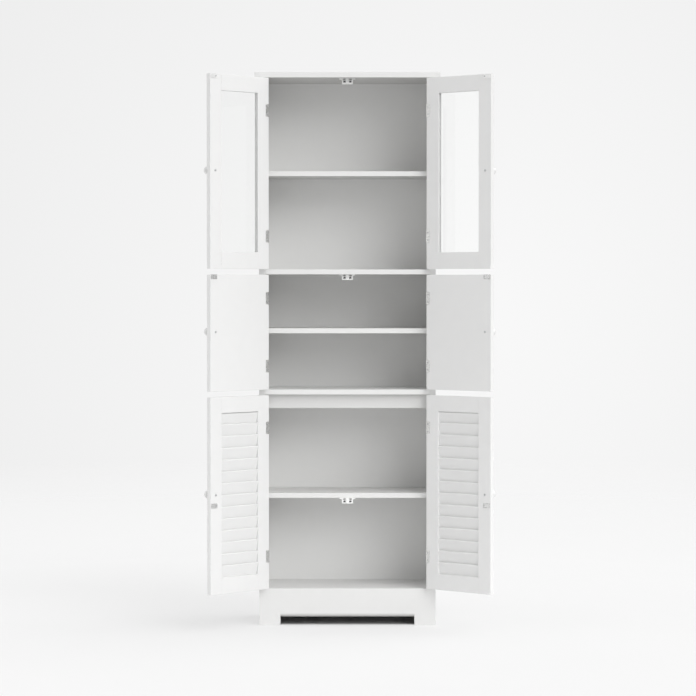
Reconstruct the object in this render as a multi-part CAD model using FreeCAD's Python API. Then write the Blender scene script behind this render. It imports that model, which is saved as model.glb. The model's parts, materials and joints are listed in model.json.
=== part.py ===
import FreeCAD, Part
import math
import os

# Tall cabinet with three tiers of inset double doors: glazed above, plain in the middle,
# louvred below. Millimetres. +Z is up, +X is to the right seen from the front, +Y runs
# towards the wall. The origin is on the floor, at the middle of the cabinet's back edge.
# Every door is built closed, in its opening, and then swung to its open rest position.

# --- Boards -------------------------------------------------------------------------------
SIDE_THICKNESS = 18.0
TOP_THICKNESS = 18.0
DIVIDER_THICKNESS = 16.0
SHELF_THICKNESS = 16.0
RAIL_THICKNESS = 16.0
BACK_THICKNESS = 3.0

# --- Carcass ------------------------------------------------------------------------------
CARCASS_WIDTH = 575.0
CARCASS_DEPTH = 283.0
TOP_SIDE_OVERHANG = 14.0
TOP_FRONT_OVERHANG = 17.0
TOP_EDGE_RADIUS = 1.0
EASED_EDGE = 0.8

BASE_HEIGHT = 120.0
LOWER_OPENING = 633.0
MIDDLE_OPENING = 375.0
UPPER_OPENING = 622.0

FOOT_WIDTH = 69.0
APRON_CUT_HEIGHT = 35.0
FRONT_RAIL_CLEARANCE = 27.0
STOP_RAIL_HEIGHT = 45.0
STOP_RAIL_SETBACK = 20.0

BACK_REBATE = 8.0
BACK_JOINT_GAP = 1.0
BACK_FIT = 0.2

# How far a cutting shape reaches past the faces that it cuts through.
OVERCUT = 1.0

# --- Shelves: height of each top face above the floor of its own tier -----------------------
LOWER_SHELF_HEIGHT = 310.0
MIDDLE_SHELF_HEIGHT = 199.0
UPPER_SHELF_HEIGHT = 320.0
SHELF_SETBACK = 22.0
SHELF_END_GAP = 1.0
SHELF_BACK_GAP = 1.0
PIN_RADIUS = 2.5
PIN_DEPTH = 9.0
PIN_REACH = 8.0
PIN_FLAT = 1.8
PIN_INSET = 40.0

# --- Doors --------------------------------------------------------------------------------
DOOR_THICKNESS = 16.0
HINGE_GAP = 2.0
MEETING_GAP = 2.5
DOOR_END_GAP = 1.2
STILE_WIDTH = 50.0
RAIL_WIDTH = 51.5
GLAZED_FOOT_RAIL_WIDTH = 54.0
LEFT_DOOR_ANGLE = 132.5
RIGHT_DOOR_ANGLE = 138.5

TENON_LENGTH = 20.0
TENON_THICKNESS = 6.0
TENON_SHOULDER = 9.0

GLASS_THICKNESS = 3.0
GLASS_SETBACK = 5.0
GLASS_GROOVE_DEPTH = 7.0

SLAT_COUNT = 14
SLAT_THICKNESS = 5.0
SLAT_ANGLE = 13.0
SLAT_OVERLAP = 4.0
SLAT_SLOT_DEPTH = 5.0
# The top slat is trimmed to leave a narrow slot under the rail. A lip on the outer side of the
# rail stands behind the slot, so that nobody can look through it.
TOP_SLAT_GAP = 2.0
TOP_LIP_HEIGHT = 5.0
TOP_LIP_THICKNESS = 4.0

# --- Hinges -------------------------------------------------------------------------------
HINGE_HEIGHT = 40.0
HINGE_END_DISTANCE = 106.0
MIDDLE_HINGE_END_DISTANCE = 76.0
AXIS_PROUD = 3.0
LEAF_THICKNESS = 0.8
BARREL_RADIUS = 2.6
HINGE_PIN_RADIUS = 1.2
KNUCKLE_COUNT = 3
KNUCKLE_GAP = 0.3
PIN_HEAD_RADIUS = 2.0
PIN_HEAD_HEIGHT = 1.0
WRAP_WIDTH = 14.0
WRAP_CORNER = 3.0
FIXED_LEAF_DEPTH = 32.0
LEAF_SCREW_SPACING = 24.0

# --- Knobs --------------------------------------------------------------------------------
KNOB_EDGE_DISTANCE = 23.0
KNOB_ABOVE_MIDDLE = 3.5
KNOB_RADIUS = 12.5
KNOB_PROJECTION = 29.0
KNOB_NECK_RADIUS = 5.5
KNOB_NECK_HEIGHT = 12.0
KNOB_SHOULDER_RADIUS = 10.5
KNOB_DOME_RISE = 3.5
KNOB_FOOT_RADIUS = 7.5
KNOB_BORE_DEPTH = 12.0
KNOB_SCREW_RADIUS = 2.0
KNOB_SCREW_HEAD_RADIUS = 4.0
KNOB_SCREW_HEAD_HEIGHT = 2.2
KNOB_STRIKE_CLEARANCE = 15.0

# --- Magnetic catches and their strike plates -----------------------------------------------
CATCH_WIDTH = 36.0
CATCH_EAR_WIDTH = 52.0
CATCH_EAR_HEIGHT = 4.0
CATCH_HEIGHT = 18.0
CATCH_DEPTH = 22.0
CATCH_CORNER = 2.0
POLE_WIDTH = 7.0
POLE_HEIGHT = 1.5
POLE_SPACING_X = 19.0
MAGNET_HEIGHT = 4.0
POLE_PROUD = 0.5
STRIKE_WIDTH = 27.0
STRIKE_HEIGHT = 14.0
STRIKE_THICKNESS = 1.0
STRIKE_EDGE_DISTANCE = 2.0
STRIKE_SCREW_DISTANCE = 25.0
STRIKE_CLEARANCE = 0.3

# --- Fasteners ----------------------------------------------------------------------------
SCREW_RADIUS = 1.5
SCREW_LENGTH = 12.0
SCREW_HEAD_RADIUS = 2.6
SCREW_HEAD_HEIGHT = 1.4
NAIL_RADIUS = 0.7
NAIL_LENGTH = 15.0
NAIL_HEAD_RADIUS = 1.5
NAIL_HEAD_HEIGHT = 0.8
NAIL_PITCH = 130.0
NAIL_EDGE = 4.0
NAIL_END_DISTANCE = 45.0
NAIL_CORNER_DISTANCE = 90.0
DOWEL_RADIUS = 4.0
DOWEL_LENGTH = 30.0
DOWEL_INSET = 80.0
DOWEL_END = 22.0
CAM_RADIUS = 7.5
CAM_HEIGHT = 12.5
CAM_DISTANCE = 34.0
CAM_INSET = 45.0
CAM_BOLT_RADIUS = 3.0
CAM_BOLT_HEAD_RADIUS = 3.4
CAM_BOLT_HEAD_LENGTH = 3.0
CAM_THREAD_RADIUS = 2.5
CAM_THREAD_LENGTH = 11.0
FIT = 0.05

# --- Worked out from the sizes above --------------------------------------------------------
FRONT = -CARCASS_DEPTH
BACK_FACE = -BACK_THICKNESS
HALF_WIDTH = CARCASS_WIDTH / 2
INSIDE_X = HALF_WIDTH - SIDE_THICKNESS

BOTTOM_TOP = BASE_HEIGHT
LOWER_DIVIDER_UNDER = BOTTOM_TOP + LOWER_OPENING
LOWER_DIVIDER_TOP = LOWER_DIVIDER_UNDER + DIVIDER_THICKNESS
UPPER_DIVIDER_UNDER = LOWER_DIVIDER_TOP + MIDDLE_OPENING
UPPER_DIVIDER_TOP = UPPER_DIVIDER_UNDER + DIVIDER_THICKNESS
TOP_UNDER = UPPER_DIVIDER_TOP + UPPER_OPENING
BOTTOM_UNDER = BOTTOM_TOP - DIVIDER_THICKNESS

# The hinge axis stands in the middle of the gap beside the door, just in front of the carcass.
AXIS_X = INSIDE_X - HINGE_GAP / 2
AXIS_Y = FRONT - AXIS_PROUD
DOOR_HINGE_EDGE = -INSIDE_X + HINGE_GAP
DOOR_FREE_EDGE = -MEETING_GAP / 2
DOOR_INNER = FRONT + DOOR_THICKNESS

# The catch's poles wait just behind the strike plate of the closed door.
POLE_FACE = DOOR_INNER + STRIKE_THICKNESS + STRIKE_CLEARANCE
CATCH_FACE = POLE_FACE + POLE_PROUD
STRIKE_DROP = DOOR_END_GAP + STRIKE_HEIGHT / 2

TIERS = {
    "lower": (BOTTOM_TOP, LOWER_DIVIDER_UNDER, HINGE_END_DISTANCE),
    "middle": (LOWER_DIVIDER_TOP, UPPER_DIVIDER_UNDER, MIDDLE_HINGE_END_DISTANCE),
    "upper": (UPPER_DIVIDER_TOP, TOP_UNDER, HINGE_END_DISTANCE),
}
SHELF_TOPS = {
    "lower": BOTTOM_TOP + LOWER_SHELF_HEIGHT,
    "middle": LOWER_DIVIDER_TOP + MIDDLE_SHELF_HEIGHT,
    "upper": UPPER_DIVIDER_TOP + UPPER_SHELF_HEIGHT,
}
# The board that each tier's catch hangs from, and the height of its underside.
CATCH_CARRIERS = {
    "lower": ("shelf_lower", SHELF_TOPS["lower"] - SHELF_THICKNESS),
    "middle": ("divider_upper", UPPER_DIVIDER_UNDER),
    "upper": ("top_panel", TOP_UNDER),
}

X_AXIS = FreeCAD.Vector(1, 0, 0)
Y_AXIS = FreeCAD.Vector(0, 1, 0)
Z_AXIS = FreeCAD.Vector(0, 0, 1)

solids = {}
bores = {}


# --- Helpers ------------------------------------------------------------------------------
def vector(x, y, z):
    return FreeCAD.Vector(x, y, z)


def box(x_span, y_span, z_span):
    """A box between the two values of each span."""
    corner = vector(min(x_span), min(y_span), min(z_span))
    return Part.makeBox(
        abs(x_span[1] - x_span[0]),
        abs(y_span[1] - y_span[0]),
        abs(z_span[1] - z_span[0]),
        corner,
    )


def rod(radius, start, direction, length):
    """A cylinder from a point along a direction."""
    return Part.makeCylinder(radius, length, start, direction)


def turned(profile, start, direction):
    """A solid of revolution. The profile is (distance along the axis, radius) points."""
    points = [vector(radius, 0, distance) for distance, radius in profile]
    face = Part.Face(Part.makePolygon(points + [points[0]]))
    return placed(face.revolve(vector(0, 0, 0), Z_AXIS, 360), start, direction)


def placed(shape, start, direction):
    """Carry a shape that stands on the origin along +Z to a start point and a direction."""
    moved = shape.copy()
    moved.Placement = FreeCAD.Placement(start, FreeCAD.Rotation(Z_AXIS, direction))
    return moved


def eased(shape, radius, keep):
    """Round the straight edges that keep(edge) picks."""
    return shape.makeFillet(radius, [edge for edge in shape.Edges if keep(edge)])


def runs_along(edge, axis):
    first, last = edge.Vertexes[0].Point, edge.Vertexes[-1].Point
    return abs((last - first).normalize().dot(axis)) > 0.99


def mirrored(shape):
    return shape.mirror(vector(0, 0, 0), X_AXIS)


def both_sides(shapes):
    """The shapes of the left half, followed by their mirror images on the right."""
    return list(shapes) + [mirrored(shape) for shape in shapes]


def add(node, *pieces):
    solids.setdefault(node, []).extend(pieces)


def drill(node, *cutters):
    """Remove these shapes from a node when it is written."""
    bores.setdefault(node, []).extend(cutters)


# --- Fasteners ----------------------------------------------------------------------------
def screw(head_seat, direction, length=SCREW_LENGTH):
    """Pan head wood screw. head_seat is the middle of the face that its head rests on."""
    profile = [
        (-SCREW_HEAD_HEIGHT, 0),
        (-SCREW_HEAD_HEIGHT, SCREW_HEAD_RADIUS / 2),
        (-SCREW_HEAD_HEIGHT / 2, SCREW_HEAD_RADIUS),
        (0, SCREW_HEAD_RADIUS),
        (0, SCREW_RADIUS),
        (length - 2 * SCREW_RADIUS, SCREW_RADIUS),
        (length, 0),
    ]
    return turned(profile, head_seat, direction)


def screw_bore(head_seat, direction, length=SCREW_LENGTH):
    return rod(SCREW_RADIUS + FIT, head_seat, direction, length + FIT)


def fix_with_screw(screw_node, head_seat, direction, drilled_nodes):
    add(screw_node, screw(head_seat, direction))
    for node in drilled_nodes:
        drill(node, screw_bore(head_seat, direction))


def fix_with_dowel(joint_point, direction, drilled_nodes):
    """A dowel half in each of two boards. joint_point is on the face where they meet."""
    start = joint_point - direction * (DOWEL_LENGTH / 2)
    add("joint_dowels", rod(DOWEL_RADIUS, start, direction, DOWEL_LENGTH))
    bore_start = start - direction * FIT
    for node in drilled_nodes:
        drill(node, rod(DOWEL_RADIUS + FIT, bore_start, direction, DOWEL_LENGTH + 2 * FIT))


def fix_with_cam(joint_point, direction, face, half_board, threaded_node, cam_node):
    """A cam lock: a bolt threaded into one board and drawn up by a disc in the other.

    direction points from the threaded board into the board that holds the disc. face points
    out of the side of that board in which the disc's hole is drilled.
    """
    bolt = turned(
        [
            (-CAM_THREAD_LENGTH, 0),
            (-CAM_THREAD_LENGTH, CAM_THREAD_RADIUS),
            (0, CAM_THREAD_RADIUS),
            (0, CAM_BOLT_RADIUS),
            (CAM_DISTANCE - CAM_BOLT_HEAD_LENGTH, CAM_BOLT_RADIUS),
            (CAM_DISTANCE - CAM_BOLT_HEAD_LENGTH, CAM_BOLT_HEAD_RADIUS),
            (CAM_DISTANCE, CAM_BOLT_HEAD_RADIUS),
            (CAM_DISTANCE, 0),
        ],
        joint_point,
        direction,
    )
    bolt_way = rod(CAM_BOLT_HEAD_RADIUS + FIT, joint_point, direction, CAM_DISTANCE + FIT)
    disc_start = joint_point + direction * CAM_DISTANCE + face * half_board
    disc = rod(CAM_RADIUS, disc_start, face * -1, CAM_HEIGHT).cut(bolt_way)
    add("cam_locks", bolt, disc)
    thread_start = joint_point - direction * (CAM_THREAD_LENGTH + FIT)
    drill(threaded_node, rod(CAM_THREAD_RADIUS + FIT, thread_start, direction,
                             CAM_THREAD_LENGTH + 2 * FIT))
    drill(cam_node, bolt_way)
    drill(cam_node, rod(CAM_RADIUS + FIT, disc_start, face * -1, CAM_HEIGHT + FIT))


def nail_sheet(node, x_values, z_values, carrier):
    """Nails through a back sheet into the board behind it."""
    profile = [
        (0, 0),
        (0, NAIL_HEAD_RADIUS),
        (NAIL_HEAD_HEIGHT, NAIL_RADIUS),
        (NAIL_LENGTH - NAIL_RADIUS, NAIL_RADIUS),
        (NAIL_LENGTH, 0),
    ]
    bore = [
        (0, 0),
        (0, NAIL_HEAD_RADIUS + FIT),
        (NAIL_HEAD_HEIGHT, NAIL_RADIUS + FIT),
        (NAIL_LENGTH + FIT, NAIL_RADIUS + FIT),
        (NAIL_LENGTH + FIT, 0),
    ]
    for x in x_values:
        for z in z_values:
            point = vector(x, 0, z)
            add("back_panel_nails", turned(profile, point, Y_AXIS * -1))
            cutter = turned(bore, point, Y_AXIS * -1)
            drill(node, cutter)
            drill(carrier, cutter)


def spread(low, high, pitch):
    """Evenly spaced values from low to high, no further apart than the pitch."""
    steps = max(1, math.ceil((high - low) / pitch))
    return [low + (high - low) * step / steps for step in range(steps + 1)]


# --- Carcass ------------------------------------------------------------------------------
def side_panel():
    """The left side: notched for the apron below, rebated for the back sheets behind."""
    panel = box((-HALF_WIDTH, -INSIDE_X), (FRONT, 0), (0, TOP_UNDER))
    panel = eased(panel, EASED_EDGE, lambda edge: runs_along(edge, Z_AXIS)
                  and edge.CenterOfMass.y < FRONT / 2)
    notch = box((-HALF_WIDTH - OVERCUT, -INSIDE_X + OVERCUT),
                (FRONT - OVERCUT, FRONT + RAIL_THICKNESS), (-OVERCUT, BASE_HEIGHT))
    rebate = box((-INSIDE_X - BACK_REBATE, -INSIDE_X + OVERCUT), (-BACK_THICKNESS, OVERCUT),
                 (BOTTOM_UNDER, TOP_UNDER + OVERCUT))
    return panel.cut([notch, rebate])


def top_panel():
    half = HALF_WIDTH + TOP_SIDE_OVERHANG
    panel = box((-half, half), (FRONT - TOP_FRONT_OVERHANG, 0),
                (TOP_UNDER, TOP_UNDER + TOP_THICKNESS))
    return eased(panel, TOP_EDGE_RADIUS, lambda edge: not runs_along(edge, Z_AXIS)
                 and abs(edge.CenterOfMass.y) > TOP_EDGE_RADIUS)


def cross_board(z_under, front, back, thickness):
    """A board between the sides, with its front edge eased."""
    board = box((-INSIDE_X, INSIDE_X), (front, back), (z_under, z_under + thickness))
    return eased(board, EASED_EDGE, lambda edge: runs_along(edge, X_AXIS)
                 and edge.CenterOfMass.y < (front + back) / 2)


def base_apron():
    """The front board of the base, over the full width, cut out between two feet."""
    board = box((-HALF_WIDTH, HALF_WIDTH), (FRONT, FRONT + RAIL_THICKNESS), (0, BASE_HEIGHT))
    board = eased(board, EASED_EDGE, lambda edge: not runs_along(edge, Y_AXIS)
                  and edge.CenterOfMass.y < FRONT + EASED_EDGE
                  and edge.CenterOfMass.z > EASED_EDGE)
    cut_half = HALF_WIDTH - FOOT_WIDTH
    cut = box((-cut_half, cut_half), (FRONT - OVERCUT, FRONT + RAIL_THICKNESS + OVERCUT),
              (-OVERCUT, APRON_CUT_HEIGHT))
    return board.cut(cut)


def make_carcass():
    left = side_panel()
    add("side_panel_left", left)
    add("side_panel_right", mirrored(left))
    add("top_panel", top_panel())
    rail_back = FRONT + 2 * RAIL_THICKNESS
    add("bottom_panel", cross_board(BOTTOM_UNDER, FRONT + RAIL_THICKNESS, BACK_FACE,
                                    DIVIDER_THICKNESS))
    add("divider_lower", cross_board(LOWER_DIVIDER_UNDER, FRONT, BACK_FACE, DIVIDER_THICKNESS))
    add("divider_upper", cross_board(UPPER_DIVIDER_UNDER, FRONT, BACK_FACE, DIVIDER_THICKNESS))
    add("base_apron", base_apron())
    add("front_base_rail", box((-INSIDE_X, INSIDE_X), (FRONT + RAIL_THICKNESS, rail_back),
                               (FRONT_RAIL_CLEARANCE, BOTTOM_UNDER)))
    add("rear_base_rail", box((-INSIDE_X, INSIDE_X), (-RAIL_THICKNESS, 0), (0, BOTTOM_UNDER)))
    stop_front = FRONT + STOP_RAIL_SETBACK
    add("door_stop_rail", box((-INSIDE_X, INSIDE_X), (stop_front, stop_front + RAIL_THICKNESS),
                              (LOWER_DIVIDER_UNDER - STOP_RAIL_HEIGHT, LOWER_DIVIDER_UNDER)))


def join_carcass():
    """Cam locks and dowels at every board end."""
    cam_ys = (FRONT + CAM_INSET, -CAM_INSET)
    dowel_ys = (FRONT + DOWEL_INSET, -DOWEL_INSET)
    half_divider = DIVIDER_THICKNESS / 2
    for sign, side in ((-1, "side_panel_left"), (1, "side_panel_right")):
        inward = X_AXIS * -sign
        for board, under in (("bottom_panel", BOTTOM_UNDER),
                             ("divider_lower", LOWER_DIVIDER_UNDER),
                             ("divider_upper", UPPER_DIVIDER_UNDER)):
            for y in cam_ys:
                point = vector(sign * INSIDE_X, y, under + half_divider)
                fix_with_cam(point, inward, Z_AXIS * -1, half_divider, side, board)
            for y in dowel_ys:
                point = vector(sign * INSIDE_X, y, under + half_divider)
                fix_with_dowel(point, inward, (side, board))
        side_middle = sign * (INSIDE_X + SIDE_THICKNESS / 2)
        for y in cam_ys:
            point = vector(side_middle, y, TOP_UNDER)
            fix_with_cam(point, Z_AXIS * -1, inward, SIDE_THICKNESS / 2, "top_panel", side)
        drop = Z_AXIS * (DOWEL_LENGTH / 2 - TOP_THICKNESS / 2)
        for y in dowel_ys:
            fix_with_dowel(vector(side_middle, y, TOP_UNDER) - drop, Z_AXIS,
                           ("top_panel", side))
        rails = (
            ("front_base_rail", FRONT + RAIL_THICKNESS + RAIL_THICKNESS / 2,
             (FRONT_RAIL_CLEARANCE + DOWEL_END, BOTTOM_UNDER - DOWEL_END)),
            ("rear_base_rail", -RAIL_THICKNESS / 2, (DOWEL_END, BOTTOM_UNDER - DOWEL_END)),
            ("door_stop_rail", FRONT + STOP_RAIL_SETBACK + RAIL_THICKNESS / 2,
             (LOWER_DIVIDER_UNDER - STOP_RAIL_HEIGHT / 2,)),
        )
        for rail, y, z_values in rails:
            for z in z_values:
                fix_with_dowel(vector(sign * INSIDE_X, y, z), inward, (side, rail))
        apron_point = vector(sign * (INSIDE_X - DOWEL_INSET), FRONT + RAIL_THICKNESS,
                             (FRONT_RAIL_CLEARANCE + BOTTOM_UNDER) / 2)
        shift = Y_AXIS * (DOWEL_LENGTH / 2 - RAIL_THICKNESS / 2)
        fix_with_dowel(apron_point + shift, Y_AXIS, ("base_apron", "front_base_rail"))


def make_back():
    """Three sheets in the sides' rebates, meeting behind the middle of each divider."""
    half_divider = DIVIDER_THICKNESS / 2
    sheets = [
        ("back_panel_lower", BOTTOM_UNDER, LOWER_DIVIDER_UNDER + half_divider,
         "bottom_panel", "divider_lower"),
        ("back_panel_middle", LOWER_DIVIDER_UNDER + half_divider,
         UPPER_DIVIDER_UNDER + half_divider, "divider_lower", "divider_upper"),
        ("back_panel_upper", UPPER_DIVIDER_UNDER + half_divider, TOP_UNDER,
         "divider_upper", None),
    ]
    half_sheet = INSIDE_X + BACK_REBATE - BACK_FIT
    for node, low, high, board_below, board_above in sheets:
        low_edge = low if board_below == "bottom_panel" else low + BACK_JOINT_GAP / 2
        high_edge = high - BACK_JOINT_GAP / 2
        add(node, box((-half_sheet, half_sheet), (-BACK_THICKNESS, 0), (low_edge, high_edge)))
        reach = INSIDE_X - NAIL_END_DISTANCE
        inner_xs = spread(-reach, reach, NAIL_PITCH)
        nail_sheet(node, inner_xs, [low_edge + NAIL_EDGE], board_below)
        if board_above:
            nail_sheet(node, inner_xs, [high_edge - NAIL_EDGE], board_above)
        side_zs = spread(low_edge + NAIL_CORNER_DISTANCE, high_edge - NAIL_CORNER_DISTANCE,
                         NAIL_PITCH)
        edge_x = INSIDE_X + BACK_REBATE / 2
        nail_sheet(node, [-edge_x], side_zs, "side_panel_left")
        nail_sheet(node, [edge_x], side_zs, "side_panel_right")


def make_shelves():
    """Loose shelves, each on four pins with flats on top."""
    front = FRONT + SHELF_SETBACK
    back = BACK_FACE - SHELF_BACK_GAP
    half = INSIDE_X - SHELF_END_GAP
    for tier, top in SHELF_TOPS.items():
        under = top - SHELF_THICKNESS
        shelf = box((-half, half), (front, back), (under, top))
        add("shelf_" + tier, eased(shelf, EASED_EDGE, lambda edge: runs_along(edge, X_AXIS)
                                   and edge.CenterOfMass.y < FRONT / 2))
        for sign, side in ((-1, "side_panel_left"), (1, "side_panel_right")):
            for y in (front + PIN_INSET, back - PIN_INSET):
                start = vector(sign * (INSIDE_X + PIN_DEPTH), y, under - PIN_FLAT)
                pin = rod(PIN_RADIUS, start, X_AXIS * -sign, PIN_DEPTH + PIN_REACH)
                flat = box((sign * INSIDE_X, sign * (INSIDE_X - 2 * PIN_REACH)),
                           (y - PIN_DEPTH, y + PIN_DEPTH), (under, under + PIN_DEPTH))
                add("shelf_pins", pin.cut(flat))
                drill(side, rod(PIN_RADIUS + FIT, start + X_AXIS * (sign * FIT),
                                X_AXIS * -sign, PIN_DEPTH + 2 * FIT))


# --- Doors, built closed on the left ---------------------------------------------------------
def rail_widths(tier):
    """The widths of a door's bottom and top rails."""
    return (GLAZED_FOOT_RAIL_WIDTH if tier == "upper" else RAIL_WIDTH), RAIL_WIDTH


def door_frame(tier, z_low, z_high):
    """Two stiles and two rails with mortise and tenon joints."""
    y_span = (FRONT, DOOR_INNER)
    middle_y = (FRONT + DOOR_INNER) / 2
    inner_left = DOOR_HINGE_EDGE + STILE_WIDTH
    inner_right = DOOR_FREE_EDGE - STILE_WIDTH
    stiles = [
        box((DOOR_HINGE_EDGE, inner_left), y_span, (z_low, z_high)),
        box((inner_right, DOOR_FREE_EDGE), y_span, (z_low, z_high)),
    ]
    stiles = [eased(stile, EASED_EDGE, lambda edge: runs_along(edge, Z_AXIS))
              for stile in stiles]
    rails = []
    foot_width, head_width = rail_widths(tier)
    for low, high in ((z_low, z_low + foot_width), (z_high - head_width, z_high)):
        rail = box((inner_left, inner_right), y_span, (low, high))
        if tier == "lower" and high == z_high:
            lip = box((inner_left, inner_right), (FRONT, FRONT + TOP_LIP_THICKNESS),
                      (low - TOP_LIP_HEIGHT, low))
            rail = rail.fuse(lip).removeSplitter()
        rail = eased(rail, EASED_EDGE, lambda edge: runs_along(edge, X_AXIS))
        tenon_y = (middle_y - TENON_THICKNESS / 2, middle_y + TENON_THICKNESS / 2)
        tenon_z = (low + TENON_SHOULDER, high - TENON_SHOULDER)
        tenon = box((inner_left - TENON_LENGTH, inner_right + TENON_LENGTH), tenon_y, tenon_z)
        mortise = box((inner_left - TENON_LENGTH - FIT, inner_right + TENON_LENGTH + FIT),
                      (tenon_y[0] - FIT, tenon_y[1] + FIT), (tenon_z[0] - FIT, tenon_z[1] + FIT))
        stiles = [stile.cut(mortise) for stile in stiles]
        rails.append(rail.fuse(tenon).removeSplitter())
    return stiles + rails


def frame_opening(tier, z_low, z_high):
    """The clear opening of a door frame: its X span and its Z span."""
    x_span = (DOOR_HINGE_EDGE + STILE_WIDTH, DOOR_FREE_EDGE - STILE_WIDTH)
    foot_width, head_width = rail_widths(tier)
    return x_span, (z_low + foot_width, z_high - head_width)


def glass_pane(z_low, z_high, margin=0.0):
    """The pane in its groove. margin grows it into the groove's own shape."""
    x_span, z_span = frame_opening("upper", z_low, z_high)
    reach = GLASS_GROOVE_DEPTH + margin
    y_low = FRONT + GLASS_SETBACK
    return box((x_span[0] - reach, x_span[1] + reach),
               (y_low - margin, y_low + GLASS_THICKNESS + margin),
               (z_span[0] - reach, z_span[1] + reach))


def louvre_slats(z_low, z_high, margin=0.0):
    """Slats that lean inwards towards the top. margin grows them into their slots."""
    x_span, z_span = frame_opening("lower", z_low, z_high)
    pitch = (z_span[1] - z_span[0]) / SLAT_COUNT
    lean = math.radians(SLAT_ANGLE)
    half_height = (pitch + SLAT_OVERLAP - SLAT_THICKNESS * math.sin(lean)) / math.cos(lean) / 2
    half_thick = SLAT_THICKNESS / 2 + margin
    straight = half_height - SLAT_THICKNESS / 2
    end = SLAT_SLOT_DEPTH + margin
    start_x = x_span[0] - end
    length = x_span[1] - x_span[0] + 2 * end
    slats = []
    for number in range(SLAT_COUNT):
        corners = [vector(start_x, -half_thick, -straight), vector(start_x, -half_thick, straight),
                   vector(start_x, half_thick, straight), vector(start_x, half_thick, -straight)]
        nose_top = vector(start_x, 0, straight + half_thick)
        nose_bottom = vector(start_x, 0, -straight - half_thick)
        outline = Part.Wire([
            Part.makeLine(corners[0], corners[1]),
            Part.Arc(corners[1], nose_top, corners[2]).toShape(),
            Part.makeLine(corners[2], corners[3]),
            Part.Arc(corners[3], nose_bottom, corners[0]).toShape(),
        ])
        slat = Part.Face(outline).extrude(X_AXIS * length)
        slat.rotate(vector(0, 0, 0), X_AXIS, -SLAT_ANGLE)
        slat.translate(vector(0, (FRONT + DOOR_INNER) / 2, z_span[0] + pitch * (number + 0.5)))
        slats.append(slat)
    trim = z_span[1] - TOP_SLAT_GAP + margin
    slats[-1] = slats[-1].cut(box((start_x - OVERCUT, start_x + length + OVERCUT),
                                  (FRONT, DOOR_INNER), (trim, trim + pitch)))
    return slats


def knob():
    """A turned knob that stands on the origin and grows along +Z."""
    dome_radius = (KNOB_SHOULDER_RADIUS ** 2 + KNOB_DOME_RISE ** 2) / (2 * KNOB_DOME_RISE)
    dome_centre = KNOB_PROJECTION - dome_radius
    half_sweep = math.asin(KNOB_SHOULDER_RADIUS / dome_radius) / 2
    shoulder = vector(KNOB_SHOULDER_RADIUS, 0, KNOB_PROJECTION - KNOB_DOME_RISE)
    neck_top = vector(KNOB_NECK_RADIUS, 0, KNOB_NECK_HEIGHT)
    rim = vector(KNOB_RADIUS, 0, (neck_top.z + shoulder.z) / 2)
    foot_edge = vector(KNOB_FOOT_RADIUS, 0, 0)
    waist = vector(KNOB_NECK_RADIUS, 0, KNOB_NECK_HEIGHT / 2)
    dome_middle = vector(dome_radius * math.sin(half_sweep), 0,
                         dome_centre + dome_radius * math.cos(half_sweep))
    top = vector(0, 0, KNOB_PROJECTION)
    outline = Part.Wire([
        Part.makeLine(vector(0, 0, 0), foot_edge),
        Part.Arc(foot_edge, waist, neck_top).toShape(),
        Part.Arc(neck_top, rim, shoulder).toShape(),
        Part.Arc(shoulder, dome_middle, top).toShape(),
        Part.makeLine(top, vector(0, 0, 0)),
    ])
    body = Part.Face(outline).revolve(vector(0, 0, 0), Z_AXIS, 360)
    return body.cut(rod(KNOB_SCREW_RADIUS + FIT, vector(0, 0, 0), Z_AXIS, KNOB_BORE_DEPTH))


def knob_screw(head_seat):
    """Machine screw from the inside of the door into the knob."""
    length = DOOR_THICKNESS + KNOB_BORE_DEPTH - KNOB_SCREW_RADIUS
    return turned(
        [
            (-KNOB_SCREW_HEAD_HEIGHT, 0),
            (-KNOB_SCREW_HEAD_HEIGHT, KNOB_SCREW_HEAD_RADIUS / 2),
            (-KNOB_SCREW_HEAD_HEIGHT / 2, KNOB_SCREW_HEAD_RADIUS),
            (0, KNOB_SCREW_HEAD_RADIUS),
            (0, KNOB_SCREW_RADIUS),
            (length, KNOB_SCREW_RADIUS),
            (length, 0),
        ],
        head_seat,
        Y_AXIS * -1,
    )


# --- Hinges, on the left side ----------------------------------------------------------------
def knuckle_spans(z_middle):
    """The Z spans of a hinge's knuckles, from the bottom up."""
    step = HINGE_HEIGHT / KNUCKLE_COUNT
    low = z_middle - HINGE_HEIGHT / 2
    return [(low + step * number + KNUCKLE_GAP / 2, low + step * (number + 1) - KNUCKLE_GAP / 2)
            for number in range(KNUCKLE_COUNT)]


def knuckle(z_span, x_span):
    """One knuckle and the tab that joins it to its leaf."""
    height = z_span[1] - z_span[0]
    centre = vector(-AXIS_X, AXIS_Y, z_span[0])
    barrel = rod(BARREL_RADIUS, centre, Z_AXIS, height)
    tab = box(x_span, (AXIS_Y, FRONT + FIT), z_span)
    bore = rod(HINGE_PIN_RADIUS + FIT, centre, Z_AXIS, height)
    return barrel.fuse(tab).cut(bore)


def hinge_leaf(z_middle, plates, knuckle_x, first_knuckle):
    """A leaf: its plates, and every second knuckle from the first one on."""
    leaf = plates
    for z_span in knuckle_spans(z_middle)[first_knuckle::2]:
        leaf = leaf.fuse(knuckle(z_span, knuckle_x))
    return leaf.removeSplitter()


def fixed_leaf(z_middle):
    """The leaf on the side panel's inner face."""
    x_span = (-INSIDE_X, -INSIDE_X + LEAF_THICKNESS)
    z_span = (z_middle - HINGE_HEIGHT / 2, z_middle + HINGE_HEIGHT / 2)
    plate = box(x_span, (FRONT, FRONT + FIXED_LEAF_DEPTH), z_span)
    plate = eased(plate, WRAP_CORNER, lambda edge: runs_along(edge, X_AXIS)
                  and edge.CenterOfMass.y > FRONT + WRAP_CORNER)
    return hinge_leaf(z_middle, plate, x_span, 1)


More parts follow.
